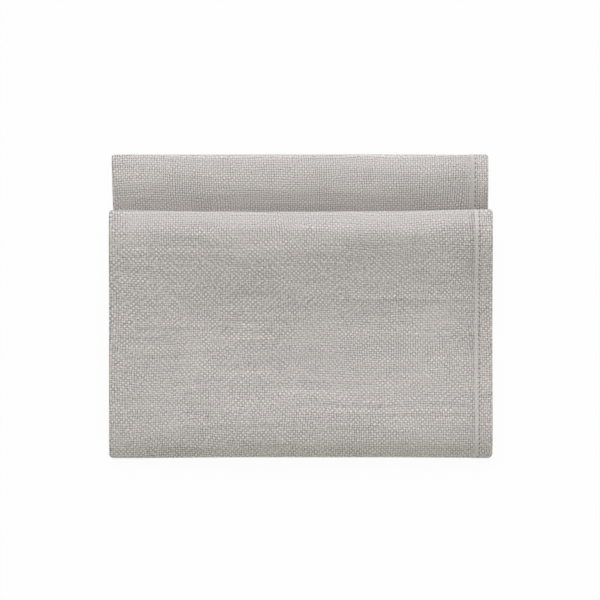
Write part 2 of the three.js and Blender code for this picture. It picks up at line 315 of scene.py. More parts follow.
class FoldPath:
    """The middle of the double cloth, from the back flap's end to the front flap's end."""

    STEPS = 600
    BACK_STEPS = 200
    FRONT_STEPS = 100

    def __init__(self):
        t = np.linspace(0, 1, self.STEPS, endpoint=False)[:, None]
        pieces = []
        for (_, y0, z0, leave, _, keep), (_, y1, z1, arrive, ease, _) in zip(SECTION, SECTION[1:]):
            a, d = np.array((y0, z0)), np.array((y1, z1))
            b = a + keep * self.heading(leave)
            c = d - ease * self.heading(arrive)
            pieces.append((1 - t) ** 3 * a + 3 * t * (1 - t) ** 2 * b + 3 * t**2 * (1 - t) * c + t**3 * d)
        curved = np.vstack([*pieces, np.array(SECTION[-1][1:3])[None]])
        length = np.linalg.norm(np.diff(curved, axis=0), axis=1).sum()
        back_flap = CLOTH_SIDE - length - FRONT_FLAP_LENGTH
        head = curved[0] - np.linspace(back_flap, 0, self.BACK_STEPS, endpoint=False)[:, None] * (1, 0)
        tail = curved[-1] - np.linspace(0, FRONT_FLAP_LENGTH, self.FRONT_STEPS + 1)[1:, None] * (1, 0)
        self.points = np.vstack([head, curved, tail])
        steps = np.linalg.norm(np.diff(self.points, axis=0), axis=1)
        self.along = np.r_[0, np.cumsum(steps)]
        tangent = np.gradient(self.points, self.along, axis=0)
        tangent /= np.linalg.norm(tangent, axis=1)[:, None]
        self.out = np.stack([-tangent[:, 1], tangent[:, 0]], 1)
        self.at = {row[0]: self.along[len(head) + k * self.STEPS] for k, row in enumerate(SECTION)}

    @staticmethod
    def heading(degrees):
        return np.array((math.cos(math.radians(degrees)), math.sin(math.radians(degrees))))

    def read(self, s):
        """Place of points along the path, and the outward direction there."""
        y, z = (np.interp(s, self.along, self.points[:, k]) for k in (0, 1))
        out = np.stack([np.interp(s, self.along, self.out[:, k]) for k in (0, 1)], -1)
        out /= np.linalg.norm(out, axis=-1, keepdims=True)
        return y, z, out[..., 0], out[..., 1]


class ClothShape:
    """Where any point of the flat cloth lies once it is folded, in millimetres. A point is given by its
    column, the way across from the upper half's hem, and its row, the way along from the back flap's end."""

    def __init__(self, cloth):
        self.path = FoldPath()
        self.pitch = cloth.weft_pitch / MM
        self.stitch_inset = cloth.stitch_inset / MM
        self.outer = DOUBLE / 2
        self.middle = (DOUBLE / 2 + HALF_GAP / 2) / 2
        self.half = FOLDED_WIDTH - self.outer
        self.turn = math.pi * self.middle
        self.width = 2 * self.half + self.turn
        self.random_slubs(cloth)

    def random_slubs(self, cloth):
        """Unevenness of each weft yarn on a coarse table: yarn by place across the cloth."""
        dice = np.random.default_rng(cloth.seed)
        self.yarns = int(CLOTH_SIDE / self.pitch) + 2
        self.knots = int(self.width / SLUB_KNOT) + 3
        table = dice.normal(0, YARN_UNEVENNESS, (self.yarns, self.knots))
        table = (table + np.roll(table, 1, axis=1)) * 0.7
        for _ in range(SLUB_COUNT):
            yarn, start = dice.integers(self.yarns), dice.integers(self.knots)
            reach = dice.integers(*SLUB_KNOTS)
            table[yarn, start : start + reach] += dice.choice((-1, 1)) * dice.uniform(*SLUB_RISE)
        self.slub_table = table

    def slub(self, u, v):
        """Rise of the weft yarn at a point, interpolated along the yarn and between yarns."""
        row = np.clip(v / self.pitch - 0.5, 0, self.yarns - 1.001)
        column = np.clip(u / SLUB_KNOT, 0, self.knots - 1.001)
        i, j = row.astype(int), column.astype(int)
        fi, fj = row - i, smoothstep(column - j, 0, 1)
        t = self.slub_table
        low = t[i, j] * (1 - fj) + t[i, j + 1] * fj
        high = t[i + 1, j] * (1 - fj) + t[i + 1, j + 1] * fj
        return low * (1 - fi) + high * fi

    def placed_slubs(self, x, y, on_front):
        """Rise of the listed slubs, each on the yarn nearest to its place."""
        rise = np.zeros_like(x)
        for start, end, line, height in SLUBS:
            nearest = (np.floor(line / self.pitch) + 0.5) * self.pitch
            window = smoothstep(x, start - 5, start + 6) * (1 - smoothstep(x, end - 6, end + 5))
            bow = SLUB_BOW * np.sin(x / 23.0 + line) * smoothstep(-x, 40, 110)
            rise += height * window * np.clip(1 - np.abs(y - nearest - bow) / self.pitch, 0, 1)
        return rise * on_front

    def columns(self):
        """Places across the cloth, finest on the hem and on the half that shows."""
        inset = self.half - HALF_FOLD_COLUMNS[0]
        panel = np.arange(HEM_COLUMNS[-1], inset, PANEL_STEP)[1:-1]
        shown = np.r_[HEM_COLUMNS, panel, self.half - np.array(HALF_FOLD_COLUMNS)]
        fold = self.half + self.turn * np.arange(1, HALF_FOLD_STEPS) / HALF_FOLD_STEPS
        back = np.arange(HALF_FOLD_COLUMNS[0], self.half - HIDDEN_HEM_COLUMNS[0], HIDDEN_PANEL_STEP)[1:-1]
        hidden = np.r_[np.array(HALF_FOLD_COLUMNS[::-1]), back, self.half - np.array(HIDDEN_HEM_COLUMNS)]
        return np.r_[shown, fold, self.half + self.turn + hidden]

    def rows(self):
        """Places along the cloth: every weft yarn where it shows, closer at the folds, wider where hidden."""
        at, pitch = self.path.at, self.pitch
        centres = (np.arange(self.yarns) + 0.5) * pitch
        centres = centres[centres < CLOTH_SIDE - 0.4]
        under = (centres > at["under, back"] + 4) & (centres < at["under, front"] - 4)
        hidden = (centres < at["back flap"] - 8) | (centres > at["front flap"] + 4) | under
        keep = ~hidden | (np.arange(len(centres)) % HIDDEN_YARNS == 0)
        ends = np.array(END_ROWS)
        rows = [centres[keep], ends, CLOTH_SIDE - ends]
        for fold in ("back fold", "front fold", "lower fold"):
            for reach, parts in FOLD_ROWS:
                fine = np.arange(self.yarns * parts) * pitch / parts + pitch / 2
                rows.append(fine[np.abs(fine - at[fold]) < reach])
        rows = np.unique(np.round(np.concatenate(rows), 3))
        return rows[np.r_[True, np.diff(rows) > LEAST_ROW_STEP]]

    def shown(self, v):
        """1 where the outer face shows from above, less where other layers or the table press on it."""
        at = self.path.at
        knots = (
            (at["back flap"] - 3, 0.12),
            (at["back flap"] + 4, 1.0),
            (at["back fold"] - 5, 0.9),
            (at["back fold"], 0.3),
            (at["under, back"] + 1, 0.0),
            (at["under, front"] - 1, 0.0),
            (at["lower fold"], 0.3),
            (at["lower fold"] + 6, 1.0),
            (at["front fold"] - 5, 0.9),
            (at["front fold"], 0.3),
            (at["front flap"] + 1, 0.12),
        )
        return np.interp(v, *zip(*knots))

    def from_side(self, u):
        """Distance from the nearest side of the folded cloth, a hem or the fold in half."""
        return np.minimum(np.abs(u - self.half), np.minimum(u, self.width - u))

    def pressed(self, u, v):
        """1 along the two upper folds, where yarns are drawn smooth, less over the crest and by the sides."""
        at = self.path.at
        strip = 0
        for fold, share in (("front fold", 1.0), ("back fold", 0.7)):
            before, past = 1 - smoothstep(at[fold] - v, 1, 13), 1 - smoothstep(v - at[fold], 2, 8)
            strip = np.maximum(strip, before * past * share)
        return strip * smoothstep(self.from_side(u), -3, 16)

    def loose(self, u, v):
        """About 1 where the cloth lies loose on the front, less by the hem and over the two upper folds."""
        at = self.path.at
        knots = (
            (at["back fold"], 0.0),
            (at["lower fold"], 0.75),
            (at["front fold"] - 80, 0.9),
            (at["front fold"] - 55, 1.2),
            (at["front fold"] - 28, 1.2),
            (at["front fold"] - 10, 0.35),
        )
        return np.interp(v, *zip(*knots)) * (0.65 + 0.35 * smoothstep(u, 20, 110))

    def corners(self, u, v):
        """1 at the two corners of the front fold, where the weave gets painted shade."""
        from_fold = np.abs(v - self.path.at["front fold"])
        return (1 - smoothstep(self.from_side(u), 0, 9)) * (1 - smoothstep(from_fold, 1, 9))

    def hem_rise(self, u, v):
        """Relief of the turned edges: the strip, its stitched groove and the ridge beside it."""
        d, rise = zip(*HEM_PROFILE)
        edge = np.minimum(u, self.width - u)
        wave = np.sin(v / 2.9 + 1.7 * np.sin(v / 11.0))
        pucker = 1 + PUCKER * wave * np.exp(-(((edge - 9.2) / 3.0) ** 2))
        stitch = np.cos(2 * math.pi * v / (2 * self.pitch))
        groove = STITCH_DIP * stitch * np.exp(-(((edge - self.stitch_inset) / 0.7) ** 2))
        side = np.interp(edge, d, rise, right=0.0) * pucker - groove
        end = END_HEM_SHARE * np.interp(np.minimum(v, CLOTH_SIDE - v), d, rise, right=0.0)
        return np.where(edge < HEM_PROFILE[-1][0], np.maximum(side, end), end)

    def edge_rounding(self, u, v):
        """Share of the thickness left close to the four turned edges, so that they are round."""
        nearest = np.minimum(np.minimum(u, self.width - u), np.minimum(v, CLOTH_SIDE - v))
        t = np.clip(nearest / EDGE_ROUNDING, 0, 1)
        return RIM_SHARE + (1 - RIM_SHARE) * np.sqrt(1 - (1 - t) ** 2)

    def inset(self, side, y, v):
        """How far a side edge draws in: at the rounded corners of the folds and along the back."""
        at = self.path.at
        is_back = (v < at["lower fold"]) * smoothstep(y, FRONT_FOLD - BACK_EASING, FRONT_FOLD)
        total = is_back * np.interp(y, (FRONT_FOLD, BACK_FOLD), BACK_DRAWN_IN[side])
        for fold, tip, radii in FOLD_CORNERS:
            radius = radii[side]
            past = np.clip(radius - np.abs(tip - y), 0, radius)
            round_off = np.minimum(radius - np.sqrt(radius**2 - past**2), radius * 0.8)
            total = total + np.where(np.abs(v - at[fold]) < 12, round_off, 0)
        return total

    def rumpled(self, x, y, z):
        """Makes the pile uneven by scaling heights, so that layers never cross, and lets fold lines drift."""
        share = sum(s * np.exp(-(((x - a) / p) ** 2) - ((y - b) / q) ** 2) for a, b, p, q, s in SWELLS)
        for x0, y0, x1, y1, width, depth in TROUGHS:
            dx, dy = x1 - x0, y1 - y0
            t = np.clip(((x - x0) * dx + (y - y0) * dy) / (dx * dx + dy * dy), 0, 1)
            away = np.hypot(x - x0 - t * dx, y - y0 - t * dy)
            share = share + depth * np.exp(-((away / width) ** 2)) * np.sin(math.pi * (0.08 + 0.84 * t))
        hem_start = RIGHT_EDGE - HEM_WIDTH
        share = share + HEM_PILE_RISE * smoothstep(x, hem_start - HEM_RAMP, hem_start)
        share = share - HALF_FOLD_DROP * (1 - smoothstep(x, -RIGHT_EDGE, HALF_FOLD_REACH - RIGHT_EDGE))
        upper = smoothstep(z, BACK_FLAP_LEVEL, FRONT_FLAP_LEVEL)
        drift = (
            smoothstep(y, FRONT_FOLD, BACK_FOLD) * eased(x, FOLD_DRIFT, 1)
            + upper * smoothstep(y, FRONT_FOLD - FRONT_DRIFT_REACH, FRONT_FOLD) * eased(x, FOLD_DRIFT, 2)
            + smoothstep(-y, -LOWER_FOLD - LOWER_DRIFT_REACH, -LOWER_FOLD) * eased(x, FOLD_DRIFT, 3)
        )
        return x, y + drift, z * (1 + share)

    def place(self, u, v, side, lift=0.0):
        """Folded place of points of the flat cloth on its outer face (side 1) or inner face (side -1)."""
        u, v = np.broadcast_arrays(np.asarray(u, float), np.asarray(v, float))
        turn = np.clip((u - self.half) / self.turn, 0, 1) * math.pi + math.pi / 2
        past = np.maximum(u - self.half - self.turn, 0)
        centre = -RIGHT_EDGE + self.outer
        face_x, face_n = np.cos(turn), np.sin(turn)
        x = np.where(u < self.half, RIGHT_EDGE - u, centre) + past + self.middle * face_x
        n = self.middle * face_n
        y0, z0, out_y, out_z = self.path.read(v)
        on_front = (v > self.path.at["lower fold"]) & (v < self.path.at["front fold"])
        upper = u < self.half
        slub = self.slub(u, v) + self.placed_slubs(x, y0, on_front & upper)
        half_thick = CLOTH_THICKNESS / 2 * self.edge_rounding(u, v)
        relief = self.shown(v) * (self.hem_rise(u, v) + slub) * self.edge_rounding(u, v)
        off = side * half_thick + (relief if side > 0 else 0) + lift
        x = x + off * face_x
        n = n + off * face_n
        to_right = (x + RIGHT_EDGE) / FOLDED_WIDTH
        x = x + self.inset("left", y0, v) * (1 - to_right) - self.inset("right", y0, v) * to_right
        x, y, z = self.rumpled(x, y0 + out_y * n, z0 + out_z * n)
        return np.stack([x, y, z], -1), slub

    def frame_at(self, u, v):
        """Place of points of the outer face, the ways along and across the cloth, and the way out of it."""
        step = 0.05
        here, _ = self.place(u, v, 1, (self.shown(v) - 1) * 0.5)
        along = self.place(u, v + step, 1)[0] - self.place(u, v - step, 1)[0]
        across = self.place(u + step, v, 1)[0] - self.place(u - step, v, 1)[0]
        along /= np.linalg.norm(along, axis=-1, keepdims=True)
        across /= np.linalg.norm(across, axis=-1, keepdims=True)
        up = np.cross(along, across)
        return here, along, across, up / np.linalg.norm(up, axis=-1, keepdims=True)


def feed(tree, node, inputs):
    """Fills inputs of a node, by name or by number: a formula or a socket is linked, anything else is set."""
    for key, value in dict(inputs).items():
        slot = node.inputs[key]
        value = value.socket if isinstance(value, Formula) else value
        if isinstance(value, bpy.types.NodeSocket):
            tree.links.new(value, slot)
        elif slot.type == "RGBA":
            slot.default_value = (*value, 1.0)
        else:
            slot.default_value = value


def made(tree, kind, inputs=(), **settings):
    """A new node with its settings and inputs."""
    node = tree.nodes.new(kind)
    for name, value in settings.items():
        setattr(node, name, value)
    feed(tree, node, inputs)
    return node


class Formula:
    """A number in a shader tree that grows with ordinary arithmetic."""

    def __init__(self, tree, socket):
        self.tree = tree
        self.socket = socket

    def math(self, operation, *others):
        node = made(self.tree, "ShaderNodeMath", enumerate((self, *others)), operation=operation)
        return Formula(self.tree, node.outputs[0])

    def __add__(self, other):
        return self.math("ADD", other)

    def __sub__(self, other):
        return self.math("SUBTRACT", other)

    def __mul__(self, other):
        return self.math("MULTIPLY", other)

    def __truediv__(self, other):
        return self.math("DIVIDE", other)

    def between(self, low, high, start=0.0, end=1.0):
        """Eases from start to end as the number goes from low to high."""
        inputs = enumerate((self, low, high, start, end))
        node = made(self.tree, "ShaderNodeMapRange", inputs, interpolation_type="SMOOTHSTEP")
        return Formula(self.tree, node.outputs[0])


def split_up(tree, socket):
    """The three numbers of a place, each as a formula."""
    return [Formula(tree, output) for output in made(tree, "ShaderNodeSeparateXYZ", {0: socket}).outputs]


def joined(*numbers):
    """A place made of formulas and plain numbers, of which the first is a formula."""
    return made(numbers[0].tree, "ShaderNodeCombineXYZ", enumerate(numbers)).outputs[0]


def noise(x, y, layer=0.0, detail=0.0):
    """Smooth noise about zero, mostly between -1 and 1, read at a place given by formulas."""
    inputs = {"Vector": joined(x, y, layer), "Scale": 1.0, "Detail": detail}
    return (Formula(x.tree, made(x.tree, "ShaderNodeTexNoise", inputs).outputs[0]) - 0.5) * NOISE_SPREAD


def uneven(name, x, y):
    """One of the weave's kinds of unevenness, read at two numbers."""
    fast_x, fast_y, layer, detail, strength = UNEVEN[name]
    return noise(x * fast_x, y * fast_y, layer, detail) * strength


def stored(tree, name):
    """A number kept on each point of the mesh."""
    return Formula(tree, made(tree, "ShaderNodeAttribute", attribute_name=name).outputs["Fac"])


def scattered(x, y):
    """A chance number between -0.5 and 0.5 for each pair of whole numbers."""
    chance = made(x.tree, "ShaderNodeTexWhiteNoise", {"Vector": joined(x, y)}, noise_dimensions="2D")
    return Formula(x.tree, chance.outputs["Value"]) - 0.5


def mixed(tree, factor, first, second):
    """A colour between two others, each a socket or plain numbers."""
    # A mix node keeps its two colours at inputs 6 and 7, and the mixed colour at output 2.
    return made(tree, "ShaderNodeMix", {0: factor, 6: first, 7: second}, data_type="RGBA").outputs[2]


def scaled(tree, colour, factor):
    """A colour times a number."""
    return made(tree, "ShaderNodeVectorMath", {0: colour, "Scale": factor}, operation="SCALE").outputs[0]


def new_material(name):
    material = bpy.data.materials.new(name)
    material.use_nodes = True
    tree = material.node_tree
    tree.nodes.clear()
    shader = made(tree, "ShaderNodeBsdfPrincipled")
    made(tree, "ShaderNodeOutputMaterial", {"Surface": shader.outputs[0]})
    return material, tree, shader


def weave_material(cloth, thread):
    """Plain weave of thick and thin yarns, read from the flat cloth's own map in metres."""
    material, tree, shader = new_material("slub_linen_weave")
    across, along, _ = split_up(tree, made(tree, "ShaderNodeUVMap", uv_map="flat_cloth").outputs[0])
    slub, pressed, loose, corners = (stored(tree, name) for name in SHEET_MARKS)

    # Yarn places, with a little wander, counted in yarns.
    flat_u, flat_v = across / cloth.warp_pitch, along / cloth.weft_pitch
    u, v = flat_u, flat_v
    for kind in ("wander", "jitter", "drift"):
        u = u + uneven("warp " + kind, flat_u, flat_v)
        v = v + uneven("weft " + kind, flat_u, flat_v)
    warp_yarn, weft_yarn = u.math("FLOOR"), v.math("FLOOR")
    off_u, off_v = u - warp_yarn - 0.5, v - weft_yarn - 0.5
    over = ((warp_yarn + weft_yarn).math("PINGPONG", 1.0) - 0.5) * 2.0

    # Each yarn swells and thins along its length, and waves over one yarn and under the next.
    warp_width = uneven("warp swell", warp_yarn, v) + WARP_WIDTH
    weft_width = uneven("weft swell", u, weft_yarn) + slub * SLUB_SWELL + WEFT_WIDTH

    def rounded(offset, width):
        edge = (offset * 2.0 / width).math("POWER", 2.0)
        return (edge * -1.0 + 1.0).math("MAXIMUM", 0.0).math("SQRT")

    warp_round = rounded(off_u.math("ABSOLUTE"), warp_width)
    weft_round = rounded(off_v.math("ABSOLUTE"), weft_width)
    warp_rise = over * (off_v * math.pi).math("COSINE") * YARN_WAVE + warp_round
    weft_rise = over * (off_u * math.pi).math("COSINE") * -YARN_WAVE + weft_round
    warp_on_top = (warp_rise - weft_rise).between(0.06, 0.30)
    top = warp_rise.math("MAXIMUM", weft_rise)

    # Fibres run along each yarn.
    warp_fibre, weft_fibre = uneven("warp fibre", u, v), uneven("weft fibre", u, v)
    fibre = warp_fibre + (weft_fibre - warp_fibre) * (warp_on_top * -1.0 + 1.0)

    # Tone differs from yarn to yarn, along each, and from crossing to crossing, most where cloth lies loose.
    warp_tone = uneven("warp tone", warp_yarn, v) + 1.0
    weft_tone = uneven("weft tone", u, weft_yarn) + 1.0 + slub * SLUB_TONE
    weft = scaled(tree, cloth.weft_colour, weft_tone)
    warp = scaled(tree, cloth.warp_colour, warp_tone)
    yarn = mixed(tree, warp_on_top, weft, warp)
    lean = uneven("crossing", warp_yarn, weft_yarn).between(-0.24, 0.50, -1.0, 1.0)
    tone = over * lean * (loose * LOOSE_LEAN + DRAWN_LEAN) + scattered(warp_yarn, weft_yarn) * CHANCE_TONE
    for kind in ("broad", "long", "small"):
        tone = tone + uneven(kind + " cloud", flat_u, flat_v)

    # Gaps between neighbouring yarns open and close along their length, most of all where four yarns meet;
    # the darkness in them is painted shade. The turned edges have none. Beside a side hem, along its edge and
    # at the corners of the front fold the weave gets a little painted shade.
    side, hem = cloth.cloth_width, HEM_WIDTH * MM
    edge, end = (way.math("MINIMUM", way * -1.0 + side) for way in (across, along))
    inner = edge.math("MINIMUM", end).between(0.0002, 0.0016)
    beside_hem_shade = edge.between(hem + 0.0007, hem + 0.003) * edge.between(hem + 0.0035, hem + 0.0195, 1.0, 0.0)
    painted_edge_shade = (beside_hem_shade + edge.between(0.0, 0.0032, 1.0, 0.0)) * SIDE_PAINTED_SHADE + corners * CORNER_PAINTED_SHADE
    gap_yarn_u, gap_yarn_v = (u + 0.5).math("FLOOR"), (v + 0.5).math("FLOOR")
    open_u = uneven("warp gap", gap_yarn_u, v) + uneven("warp gap patch", flat_u, flat_v)
    open_u = (open_u + loose * LOOSE_WARP_GAP + WARP_GAP).math("MAXIMUM", 0.0)
    open_v = uneven("weft gap", u, gap_yarn_v) + uneven("weft gap patch", flat_u, flat_v)
    open_v = (open_v + WEFT_GAP).math("MAXIMUM", 0.0)
    near_u, near_v = (off.math("ABSOLUTE").between(0.22, 0.5) for off in (off_u, off_v))
    where_four_meet = near_u * near_v * (scattered(gap_yarn_u, gap_yarn_v) + 0.6) * FOUR_YARN_GAP
    # The darkness of the gaps is painted shade.
    gaps = near_u * open_u + near_v * open_v + where_four_meet
    shade = (gaps - GAP_SHADE) * inner + GAP_SHADE + painted_edge_shade
    # Low parts of the yarns are darkened with painted shade.
    tone = tone + top.between(0.2, 1.2, 0.56, 1.05) + fibre * FIBRE_TONE + uneven("lint", u, v)
    tone = (tone + loose * 0.011 + 0.003 - shade).math("MINIMUM", TONE_LIMIT)
    smooth = pressed * PRESSED_SHARE
    colour = mixed(tree, smooth, scaled(tree, yarn, tone), cloth.pressed_colour)

    # The turned edge of a side hem is smooth and a little lighter, partly in its own tone and partly by a
    # painted highlight on its ridge.
    inset, pitch = cloth.stitch_inset, thread.stitch_length
    band = edge.between(inset + 0.0006, inset + 0.0012) * edge.between(hem - 0.0003, hem + 0.0004, 1.0, 0.0)
    colour = mixed(tree, band * (loose * -0.25 + 0.85), colour, cloth.hem_fold_and_highlight_colour)

    # Needle holes of the stitching, a row on each of the four hems, darkened with painted shade.
    def holes(from_edge, way):
        from_hole = (way / pitch).math("PINGPONG", 0.5) * pitch
        wide = (from_edge - inset).math("ABSOLUTE") / HOLE_HALF_WIDTH
        long = from_hole / HOLE_HALF_LENGTH
        reach = (wide.math("POWER", 2.0) + long.math("POWER", 2.0)).math("SQRT")
        return reach.between(0.55, 1.15, 1.0, 0.0)

    hole = holes(edge, along).math("MAXIMUM", holes(end, across)) * inner
    colour = mixed(tree, hole * HOLE_SHADE_SHARE, colour, cloth.hole_shade_colour)

    height = (top + fibre * 0.12) * (band.math("MAXIMUM", smooth) * -0.7 + 1.0) - hole * 0.5
    bump = made(tree, "ShaderNodeBump", {"Strength": 1.0, "Distance": cloth.weave_depth, "Height": height})
    feed(tree, shader, {
        "Base Color": colour,
        "Normal": bump.outputs[0],
        "Roughness": fibre * 0.04 + 0.64,
        "Specular IOR Level": 0.45,
        "Sheen Weight": 0.05,
        "Sheen Roughness": 0.6,
        "Sheen Tint": (0.9, 0.9, 0.92),
    })
    return material


def thread_material(thread):
    """Twisted sewing thread."""
    material, tree, shader = new_material("hem_thread")
    x, y, z = split_up(tree, made(tree, "ShaderNodeTexCoord").outputs["Object"])
    twist = ((x + y + z) * (2 * math.pi / TWIST_PITCH)).math("SINE")
    # The twist's ridges are lighter and its grooves darker: painted shade along the twist.
    tone = noise(x * 400.0, y * 400.0, detail=1.0) * 0.06 + twist * 0.08 + 0.98
    bump = made(tree, "ShaderNodeBump", {"Distance": TWIST_RELIEF, "Height": twist})
    feed(tree, shader, {
        "Base Color": scaled(tree, thread.colour, tone),
        "Normal": bump.outputs[0],
        "Roughness": 0.75,
        "Sheen Weight": 0.1,
    })
    return material


def floor_material(stage):
    """Pale matte paper with a hardly visible grain."""
    material, tree, shader = new_material("pale_floor")
    x, y, _ = split_up(tree, made(tree, "ShaderNodeTexCoord").outputs["Object"])
    tone = noise(x * 60.0, y * 60.0, detail=2.0) * 0.004 + 1.0
    feed(tree, shader, {
        "Base Color": scaled(tree, stage.floor_colour, tone),
        "Roughness": 0.95,
        "Specular IOR Level": 0.1,
        "Emission Color": (1.0, 1.0, 1.0),
        "Emission Strength": stage.floor_glow,
    })
    return material


def new_object(name, mesh):
    piece = bpy.data.objects.new(name, mesh)
    bpy.context.scene.collection.objects.link(piece)
    return piece


def sheet_mesh(shape):
    """The cloth as one closed slab: an outer and an inner grid, joined round its four edges."""
    columns, rows = shape.columns(), shape.rows()
    u, v = np.meshgrid(columns, rows)
    outer, slub = shape.place(u, v, 1)
    inner, _ = shape.place(u, v, -1)
    high, wide = u.shape
    points = np.concatenate([outer.reshape(-1, 3), inner.reshape(-1, 3)]) * MM
    index = np.arange(high * wide).reshape(high, wide)
    under = index + high * wide

    def quads(a, b, c, d):
        return np.stack([a, b, c, d], -1).reshape(-1, 4)

    def band(first, second):
        return quads(first[:-1], first[1:], second[1:], second[:-1])

    faces = np.concatenate([
        quads(index[:-1, :-1], index[1:, :-1], index[1:, 1:], index[:-1, 1:]),
        quads(under[:-1, :-1], under[:-1, 1:], under[1:, 1:], under[1:, :-1]),
        band(under[:, 0], index[:, 0]),
        band(index[:, -1], under[:, -1]),
        band(index[0], under[0]),
        band(under[-1], index[-1]),
    ])
    mesh = bpy.data.meshes.new("napkin_sheet")
    mesh.from_pydata(points.tolist(), [], faces.tolist())
    mesh.validate()
    mesh.polygons.foreach_set("use_smooth", np.ones(len(mesh.polygons), bool))
    corner = np.empty(len(mesh.loops), np.int32)
    mesh.loops.foreach_get("vertex_index", corner)
    flat = np.stack([np.tile(u.ravel(), 2), np.tile(v.ravel(), 2)], -1) * MM
    for name, places in (("flat_cloth", flat), ("OFBake", bake_map(shape, u, v))):
        layer = mesh.uv_layers.new(name=name)
        layer.uv.foreach_set("vector", places[corner].astype(np.float32).ravel())
    mesh.uv_layers.active = mesh.uv_layers["flat_cloth"]
    marks = (slub, shape.pressed(u, v), shape.loose(u, v), shape.corners(u, v))
    for name, numbers in zip(SHEET_MARKS, marks):
        values = mesh.attributes.new(name, "FLOAT", "POINT")
        values.data.foreach_set("value", np.tile(numbers.ravel(), 2).astype(np.float32))
    mesh.update()
    return mesh


def bake_map(shape, u, v):
    """A second map that gives the half that shows most of the square, and hidden cloth a narrow strip."""
    seam = shape.half + shape.turn
    shown_share, hidden_share = 0.84, 0.07
    shown = np.clip(u / seam, 0, 1) * shown_share
    rest = np.clip((u - seam) / (shape.width - seam), 0, 1) * hidden_share
    at = shape.path.at
    low, high = at["back flap"] - 6, at["front flap"] + 3
    along = np.interp(v, (0, low, high, CLOTH_SIDE), (0, 0.05, 0.97, 1.0))
    outer = np.stack([shown + rest, along], -1).reshape(-1, 2)
    inner = np.stack([1 - hidden_share * (1 - u / shape.width), along], -1).reshape(-1, 2)
    return np.concatenate([outer, inner])


def seam_points(shape, cloth, thread):
    """One point for each stitch of the four hems, with the directions along the seam and out of the cloth."""
    inset, pitch = cloth.stitch_inset / MM, thread.stitch_length / MM
    ways = (np.arange(int(CLOTH_SIDE / pitch)) + 0.5) * pitch
    inside = ways[(ways > 2.0) & (ways < CLOTH_SIDE - 2.0)]
    seams = []
    for edge in (inset, shape.width - inset):
        here, along, _, up = shape.frame_at(np.full_like(inside, edge), inside)
        seams.append((here, along, up))
    clear = inside[np.minimum(inside, shape.width - inside) > inset + 1.0]
    for end in (inset, CLOTH_SIDE - inset):
        here, _, across, up = shape.frame_at(clear, np.full_like(clear, end))
        seams.append((here, across, up))
    places, ways_along, ways_out = (np.concatenate(rows) for rows in zip(*seams))
    mesh = bpy.data.meshes.new("stitch_places")
    mesh.from_pydata((places * MM).tolist(), [], [])
    for name, directions in (("along_seam", ways_along), ("out_of_cloth", ways_out)):
        values = mesh.attributes.new(name, "FLOAT_VECTOR", "POINT")
        values.data.foreach_set("vector", directions.astype(np.float32).ravel())
    return mesh


def stitch_tree(material):
    """Geometry nodes that lay a short arched length of thread on each stitch place."""
    tree = bpy.data.node_groups.new("hem_stitches", "GeometryNodeTree")
    tree.interface.new_socket("Geometry", in_out="INPUT", socket_type="NodeSocketGeometry")
    sockets = []
    for name, kind, default in STITCH_INPUTS:
        socket = tree.interface.new_socket(name, in_out="INPUT", socket_type=kind)
        socket.default_value = default
        sockets.append(socket.identifier)
    tree.interface.new_socket("Geometry", in_out="OUTPUT", socket_type="NodeSocketGeometry")
    given = tree.nodes.new("NodeGroupInput").outputs

    def first(kind, inputs, **settings):
        """First output of a new node."""
        return made(tree, kind, inputs, **settings).outputs[0]

    def times(a, b):
        return first("ShaderNodeMath", {0: a, 1: b}, operation="MULTIPLY")

    def plus(a, b):
        return first("ShaderNodeMath", {0: a, 1: b}, operation="ADD")

    def vector(x, y, z):
        return first("ShaderNodeCombineXYZ", {"X": x, "Y": y, "Z": z})

    def direction(name):
        return first("GeometryNodeInputNamedAttribute", {"Name": name}, data_type="FLOAT_VECTOR")

    length, diameter, unevenness = given["Stitch Length"], given["Thread Diameter"], given["Unevenness"]
    reach, sunk = times(length, 0.31), times(diameter, -0.45)
    start = vector(times(reach, -1.0), 0.0, sunk)
    middle = vector(0.0, 0.0, times(diameter, 0.95))
    end = vector(reach, 0.0, sunk)
    arc = first(
        "GeometryNodeCurveQuadraticBezier", {"Resolution": 5, "Start": start, "Middle": middle, "End": end}
    )
    ring = first("GeometryNodeCurvePrimitiveCircle", {"Resolution": 6, "Radius": times(diameter, 0.5)})
    tube = first("GeometryNodeCurveToMesh", {"Curve": arc, "Profile Curve": ring, "Fill Caps": True})
    turn = first(
        "FunctionNodeAxesToRotation",
        {0: direction("out_of_cloth"), 1: direction("along_seam")},
        primary_axis="Z",
        secondary_axis="X",
    )
    least, most = (plus(times(unevenness, sign), 1.0) for sign in (-1.0, 1.0))
    size = first(
        "FunctionNodeRandomValue",
        {0: vector(least, least, least), 1: vector(1.0, most, most), "Seed": given["Seed"]},
        data_type="FLOAT_VECTOR",
    )
    laid = first(
        "GeometryNodeInstanceOnPoints",
        {"Points": given["Geometry"], "Instance": tube, "Rotation": turn, "Scale": size},
    )
    real = first("GeometryNodeRealizeInstances", {0: laid})
    smooth = first("GeometryNodeSetShadeSmooth", {0: real})
    finished = first("GeometryNodeSetMaterial", {0: smooth, "Material": material})
    tree.links.new(finished, tree.nodes.new("NodeGroupOutput").inputs[0])
    return tree, sockets


# What settings of one kind have in common.
LENGTH = {"unit": "LENGTH", "precision": 6, "min": 0.0}
COLOUR = {"subtype": "COLOR", "min": 0.0, "max": 1.0}
POWER = {"unit": "POWER", "min": 0.0}
ANGLE = {"subtype": "ANGLE"}


